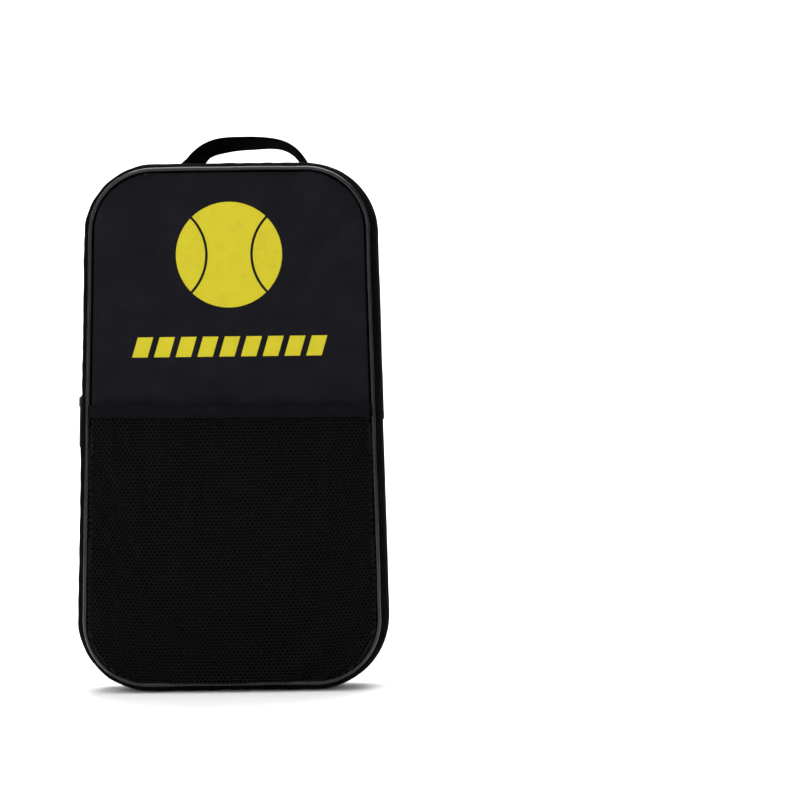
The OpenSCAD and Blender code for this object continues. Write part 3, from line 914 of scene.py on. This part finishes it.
def pocket_binding():
    """The folded binding over the pocket's mouth, with a ridge along its top and a row of stitches."""
    x = np.linspace(-1, 1, 121) * (float(half_width(mouth_z, 0)) - 0.0012)
    dip = -0.0009 * np.cos(np.clip(x / 0.12, -1, 1) * math.pi / 2) - 0.009 * x
    mid = (pocket_front + 0.0004 - 0.0045 * np.exp(-(0.1215 - np.abs(x)) / 0.006)
           + 0.0003 * ripple(x, 0 * x, 0.05, 3))
    tall = mouth_z - binding_low
    h = np.array([0, 0.02, 0.08, 0.17, 0.2, 0.23, 0.3, 0.6, 0.8, 0.86, 0.9, 0.97, 1.0])
    proud = np.array([0.3, 0.75, 0.95, 0.9, 0.62, 0.9, 1.0, 1.02, 0.98, 0.8, 1.25, 1.3, 0.5]) * 0.00085
    loop_h = np.concatenate([h, h[::-1]])
    loop_y = np.concatenate([proud, -0.6 * proud[::-1]])
    points = np.stack([
        np.broadcast_to(x[:, None], (len(x), len(loop_h))),
        -(mid[:, None] + loop_y[None, :]),
        binding_low + dip[:, None] + tall * loop_h[None, :]], -1)
    loop = np.stack([loop_h * tall, loop_y], -1)
    faces, uvs = tube_grid(points, x, along(np.concatenate([loop, loop[:1]])))
    strip = outward(add_mesh("pocket_mouth_binding", points, faces, uvs, material=binding_cloth))
    path = np.stack([x, -(mid + 0.00062), binding_low + dip + 0.2 * tall], -1)
    return strip, stitches("pocket_binding_stitches", [(path[3:-3], (0, -1, 0))])


binding_strip, binding_row = pocket_binding()
attach(binding_strip, "webbing", "case", "pocket_binding")
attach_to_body(binding_row, "case")


# ---- printed marks ----
def face_finder(skin, side):
    """A function that gives the depth of a wall's outer face at (x, z)."""
    tree = BVHTree.FromPolygons([tuple(v.co) for v in skin.data.vertices],
                                [tuple(p.vertices) for p in skin.data.polygons])

    def depth(x, z):
        hit = tree.ray_cast(Vector((x, side * 0.2, z)), Vector((0, -side, 0)))
        return hit[0].y if hit[0] is not None else side * front_y
    return depth


on_front, on_rear = face_finder(front_skin, -1), face_finder(rear_skin, 1)
FILM_STEP, FILM_LIFT = 0.0035, 0.00016


def film(name, loops):
    """A thin printed film over the front cloth, inside closed outlines given in x and z."""
    verts, edges = [], []
    for loop in loops:
        start = len(verts)
        verts += [Vector(p) for p in loop]
        edges += [(start + i, start + (i + 1) % len(loop)) for i in range(len(loop))]
    low, high = np.min([np.min(l, 0) for l in loops], 0), np.max([np.max(l, 0) for l in loops], 0)
    for i in np.arange(low[0] + FILM_STEP / 2, high[0], FILM_STEP):
        for j in np.arange(low[1] + FILM_STEP / 2, high[1], FILM_STEP):
            verts.append(Vector((i, j)))
    flat, _, tris, *_ = delaunay_2d_cdt(verts, edges, [], 1, 1e-7)
    used = sorted({v for t in tris for v in t})
    at = {v: i for i, v in enumerate(used)}
    top = [(flat[v].x, on_front(flat[v].x, flat[v].y) - FILM_LIFT, flat[v].y) for v in used]
    base = [(x, y + FILM_LIFT + 0.0003, z) for x, y, z in top]
    n = len(used)
    sides = dict.fromkeys((at[a], at[b]) for t in tris for a, b in zip(t, t[1:] + t[:1]))
    faces = [tuple(at[v] for v in t) for t in tris] + [tuple(n + at[v] for v in t[::-1]) for t in tris]
    faces += [(b, a, n + a, n + b) for a, b in sides if (b, a) not in sides]
    return outward(add_mesh(name, np.array(top + base), faces, smooth=False, material=print_ink))


ball_low, ball_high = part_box("ball_print")
ball_centre = (ball_low + ball_high) / 2
BALL_R = (ball_high.x - ball_low.x) / 2


def ball_loops():
    """A plain ball: a disc with two curved seams left open."""
    seam_x, arc_r, gap = 1.44 * BALL_R, 1.04 * BALL_R, 0.0022

    def polar(radius, angles, centre_x=0.0):
        return np.stack([centre_x + radius * np.cos(angles), radius * np.sin(angles)], -1)

    def arc(radius):
        meet = (seam_x ** 2 + BALL_R ** 2 - radius ** 2) / (2 * seam_x)
        tall = math.sqrt(BALL_R ** 2 - meet ** 2)
        own = math.atan2(tall, meet - seam_x)
        return math.atan2(tall, meet), polar(radius, np.linspace(own, 2 * math.pi - own, 28), seam_x)

    (rim_a, inner), (rim_b, outer) = arc(arc_r), arc(arc_r - gap)
    side = np.concatenate([outer, polar(BALL_R, np.linspace(-rim_b, rim_b, 22)[1:-1])])
    cross = polar(BALL_R, np.linspace(rim_a, math.pi - rim_a, 40)[1:-1])
    middle = np.concatenate([inner[::-1], cross, -inner[::-1], -cross])
    shift = np.array([ball_centre.x, ball_centre.z])
    return [side + shift, -side + shift, middle + shift]


attach(film("ball_emblem", ball_loops()), "print_ink", "flap", "ball_print")
dash_low, dash_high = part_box("dash_print")
DASHES = 9


def dash_loops():
    """A row of slanted dashes."""
    pitch = 0.0184
    wide, slant = 0.013, 0.0025
    tall = (dash_high.z - dash_low.z) / 2
    mid = (dash_high.z + dash_low.z) / 2
    corners = np.array([(-wide / 2 - slant, -tall), (wide / 2 - slant, -tall),
                        (wide / 2 + slant, tall), (-wide / 2 + slant, tall)])
    return [corners + np.array([(i - (DASHES - 1) / 2) * pitch, mid]) for i in range(DASHES)]


attach(film("dash_row", dash_loops()), "print_ink", "flap", "dash_print")


# ---- carry handle ----
HANDLE_W, HANDLE_T = 0.018, 0.0022
HANDLE_FLARE = 0.27
CROWN_TURN = math.radians(65)
handle_x, handle_half = 0.013, 0.051
anchor_low, anchor_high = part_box("handle_anchors")
handle_y = (anchor_low.y + anchor_high.y) / 2
arch_rise = (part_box("carry_handle")[1].z - anchor_low.z
             - HANDLE_W / 2 * math.cos(CROWN_TURN) - HANDLE_T / 2 * math.sin(CROWN_TURN))


def handle_strap():
    """Webbing that stands face-on at its left foot, leans at the crown and ends edge-on at its right foot."""
    u = np.concatenate([[-1, -1], np.linspace(-1, 1, 120)[1:-1], [1, 1]])
    left = u < 0
    z = anchor_low.z + arch_rise * (1 - np.abs(u) ** np.where(left, 3.2, 4.5))
    z[[0, -1]] -= 0.0025
    q = math.pi / 2 * np.sign(u) * np.minimum(1, np.abs(u) / 0.85)
    turn = math.pi / 2 - CROWN_TURN * np.where(left, np.cos(q), 1) - 0.16 * np.where(left, 0, u)
    out = np.stack([np.sin(q), 0 * q, np.cos(q)], -1)
    level = np.array([0.0, -1.0, 0.0])
    across = level * np.cos(turn)[:, None] + out * np.sin(turn)[:, None]
    wide = 1 + np.where(left, HANDLE_FLARE, -0.12) * np.abs(u) ** 4
    wave = 0.0005 * np.sin(5.1 * u + 0.6) * (1 - u * u)
    path = np.stack([handle_x + handle_half * u, handle_y + wave, z + 0.6 * wave], -1)
    strap = ribbon("handle_strap", path, across * wide[:, None], HANDLE_W, HANDLE_T)
    t = np.linspace(-1, 1, 12) * (HANDLE_W / 2 * (1 + HANDLE_FLARE) - 0.0015)
    rows = [(np.stack([handle_x - handle_half + t, 0 * t + handle_y + face * HANDLE_T / 2,
                       0 * t + anchor_low.z + 0.0018], -1), (0, face, 0)) for face in (-1, 1)]
    return strap, stitches("handle_stitches", rows, r=0.00026)


strap, handle_row = handle_strap()
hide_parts("carry_handle", "handle_anchors")
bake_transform(strap)
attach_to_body(handle_row, "case")


# ---- back strap ----
strap_low, strap_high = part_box("upper_strap")
STRAP_W = strap_high.x - strap_low.x
STRAP_T = strap_high.y - strap_low.y


def back_strap(name, z_low, z_high):
    """A stretch of the back strap; its sewn end dips into the seam."""
    z = np.linspace(z_low, z_high, int((z_high - z_low) / 0.003))
    level = np.clip(z, foot_z - seam_r + 0.002, head_z + seam_r - 0.002)
    level = np.array([on_rear(0, float(v)) for v in level]) + STRAP_T / 2 + 0.0001
    y = np.maximum(level, (strap_low.y + strap_high.y) / 2)
    y = np.where(seam_distance(0 * z, z) < 0.012, level, y)
    y = np.convolve(np.pad(y, 4, mode="edge"), np.ones(9) / 9, "valid")
    return ribbon(name, np.stack([0.0004 * np.sin(z * 23), y, z], -1), (1.0, 0, 0), STRAP_W, STRAP_T)


for node in ("upper_strap", "lower_strap"):
    low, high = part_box(node)
    attach(back_strap(node + "_web", low.z, high.z), "webbing", "case", node)

buckle_low, buckle_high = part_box("strap_buckle")
tail_low, tail_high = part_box("strap_tail")
buckle_z = (buckle_low.z + buckle_high.z) / 2
TAIL_T = 0.0014


def strap_tail():
    """The strap's end: up through the buckle, over its middle bar and down again, with the cut end below."""
    under = tail_low.y + TAIL_T / 2
    over = tail_high.y - TAIL_T / 2
    bar = np.array([0.0105, 0.0085, 0.0055, 0.0025, 0, -0.0025, -0.0055, -0.0085, -0.0105, -0.018])
    knots_z = np.concatenate([[tail_high.z], buckle_z + bar, [tail_low.z]])
    knots_y = np.array([0, 0, 0.06, 0.5, 0.93, 1, 0.93, 0.5, 0.06, 0, 0, 0.12])
    t = np.linspace(0, len(knots_z) - 1, 60)
    z = np.interp(t, np.arange(len(knots_z)), knots_z)
    level = np.interp(t, np.arange(len(knots_z)), knots_y)
    level = np.convolve(np.pad(level, 2, mode="edge"), np.ones(5) / 5, "valid")
    path = np.stack([0 * z, under + (over - under) * level, z], -1)
    return ribbon("strap_tail_web", path, (1.0, 0, 0), tail_high.x - tail_low.x, TAIL_T)


attach(strap_tail(), "webbing", "buckle", "strap_tail")
tail_row = (np.linspace(-1, 1, 12)[:, None] * [STRAP_W / 2 - 0.0025, 0, 0]
            + [0, tail_low.y + TAIL_T, tail_low.z + 0.0025])
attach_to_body(stitches("strap_tail_stitches", [(tail_row, (0, 1, 0))], r=0.00026), "buckle")


# ---- hardware that keeps its CAD shape ----
def finish_node(node, material, width):
    """A CAD node with its material and a small bevel."""
    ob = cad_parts[node]
    ob.data.materials.clear()
    ob.data.materials.append(material)
    bevel = ob.modifiers.new("edges", "BEVEL")
    bevel.width, bevel.segments, bevel.limit_method = width, 3, "ANGLE"
    bevel.angle_limit = math.radians(35)
    bevel.harden_normals = False
    ob.data.polygons.foreach_set("use_smooth", [True] * len(ob.data.polygons))


finish_node("strap_buckle", buckle_plastic, 0.0007)
finish_node("zip_slider", slider_enamel, 0.0003)
finish_node("pull_tab", slider_enamel, 0.00035)

CROWN_RISE, CROWN_LENGTH = 0.0037, 0.0104


def slider_crown():
    """The slider's rounded bridge, which the pull's pin passes through."""
    low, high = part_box("zip_slider")
    middle = FULL_TURN - side_distance((low.z + high.z) / 2)
    turn = np.linspace(0, math.pi, 22)
    rows = []
    for y, share in ((-1.5, 0.84), (-1.3, 0.94), (-0.8, 1.0), (0.8, 1.0), (1.3, 0.94), (1.5, 0.84)):
        out = BAND_BULGE + 0.0009 + CROWN_RISE * share * np.sin(turn) ** 0.8
        rows.append(round_points(middle, out, y * 0.001, -CROWN_LENGTH / 2 * share * np.cos(turn)))
    faces, _ = tube_grid(np.array(rows), np.zeros(6), np.zeros(len(turn) + 1))
    piece = outward(add_mesh("slider_bridge", np.array(rows), faces, material=slider_enamel))
    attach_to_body(piece, "slider")


slider_crown()


# ---- floor, light and camera ----
def make_floor():
    """A pale floor that curves up into a backdrop behind the case and, further off, in front of it."""
    turn = np.linspace(0, math.pi / 2, 14)
    rear = np.concatenate([np.stack([1.6 + 0.8 * np.sin(turn), 0.8 - 0.8 * np.cos(turn)], -1), [(2.4, 4.0)]])
    line = np.concatenate([rear[::-1] * [-1, 1] - [1.2, 0], rear])
    points = [(x, y, z) for x in (-4.0, 4.0) for y, z in line]
    n = len(line)
    floor = add_mesh("studio_sweep", points, grid_quads(2, n))
    m = Nodes("paper")
    tone = m.ramp(m.noise(m.coordinates(False), 3, 2), [(0.3, (0.84, 0.84, 0.84)), (0.7, (0.88, 0.88, 0.88))])
    floor.data.materials.append(m.surface(tone, Roughness=0.9, Specular_IOR_Level=0.1))
    floor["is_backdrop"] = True


def area_light(name, place, target, size, power):
    light = bpy.data.lights.new(name, "AREA")
    light.shape, light.size, light.size_y, light.energy = "RECTANGLE", size[0], size[1], power
    ob = bpy.data.objects.new(name, light)
    bpy.context.scene.collection.objects.link(ob)
    ob.location = place
    ob.rotation_euler = (Vector(target) - Vector(place)).to_track_quat("-Z", "Y").to_euler()


def make_light():
    middle = (0, 0, 0.24)
    for light in (("left_strip", (-1.15, -1.0, 0.75), middle, (0.2, 1.5), 9),
                  ("right_strip", (1.5, -0.9, 0.5), middle, (0.2, 1.5), 6),
                  ("top_strip", (-0.3, -0.75, 1.7), middle, (1.6, 0.25), 10),
                  ("front_fill", (-0.45, -1.9, 1.5), middle, (1.3, 1.1), 9.5),
                  ("floor_light", (0.1, 0.35, 2.6), (0.1, 0.1, 0), (2.6, 1.8), 75),
                  ("backdrop_light", (0.2, 0.9, 2.2), (0.2, 2.4, 0.6), (2.4, 0.8), 60),
                  ("front_backdrop_light", (0.0, -2.0, 2.6), (0.0, -3.5, 0.9), (2.4, 0.8), 26)):
        area_light(*light)
    world = bpy.data.worlds.new("studio")
    bpy.context.scene.world = world
    world.use_nodes = True
    world.node_tree.nodes["Background"].inputs["Color"].default_value = (1, 1, 1, 1)
    world.node_tree.nodes["Background"].inputs["Strength"].default_value = 0.06


def make_camera():
    """The camera stands to the right of the case, a little below its middle, and looks slightly up."""
    place = Vector((0.1434, -1.25, 0.2011))
    tilt, roll = math.radians(2.0), math.radians(0.7)
    cam = bpy.data.cameras.new("camera")
    ob = bpy.data.objects.new("camera", cam)
    bpy.context.scene.collection.objects.link(ob)
    ob.location = place
    ob.rotation_euler = (math.pi / 2 + tilt, 0, 0)
    ob.rotation_euler.rotate_axis("Z", -roll)
    cam.sensor_width = 36
    cam.lens = 65.37
    cam.clip_start, cam.clip_end = 0.05, 50
    bpy.context.scene.camera = ob


make_floor()
make_light()
make_camera()
bpy.context.scene.view_settings.view_transform = "Standard"

low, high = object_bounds()
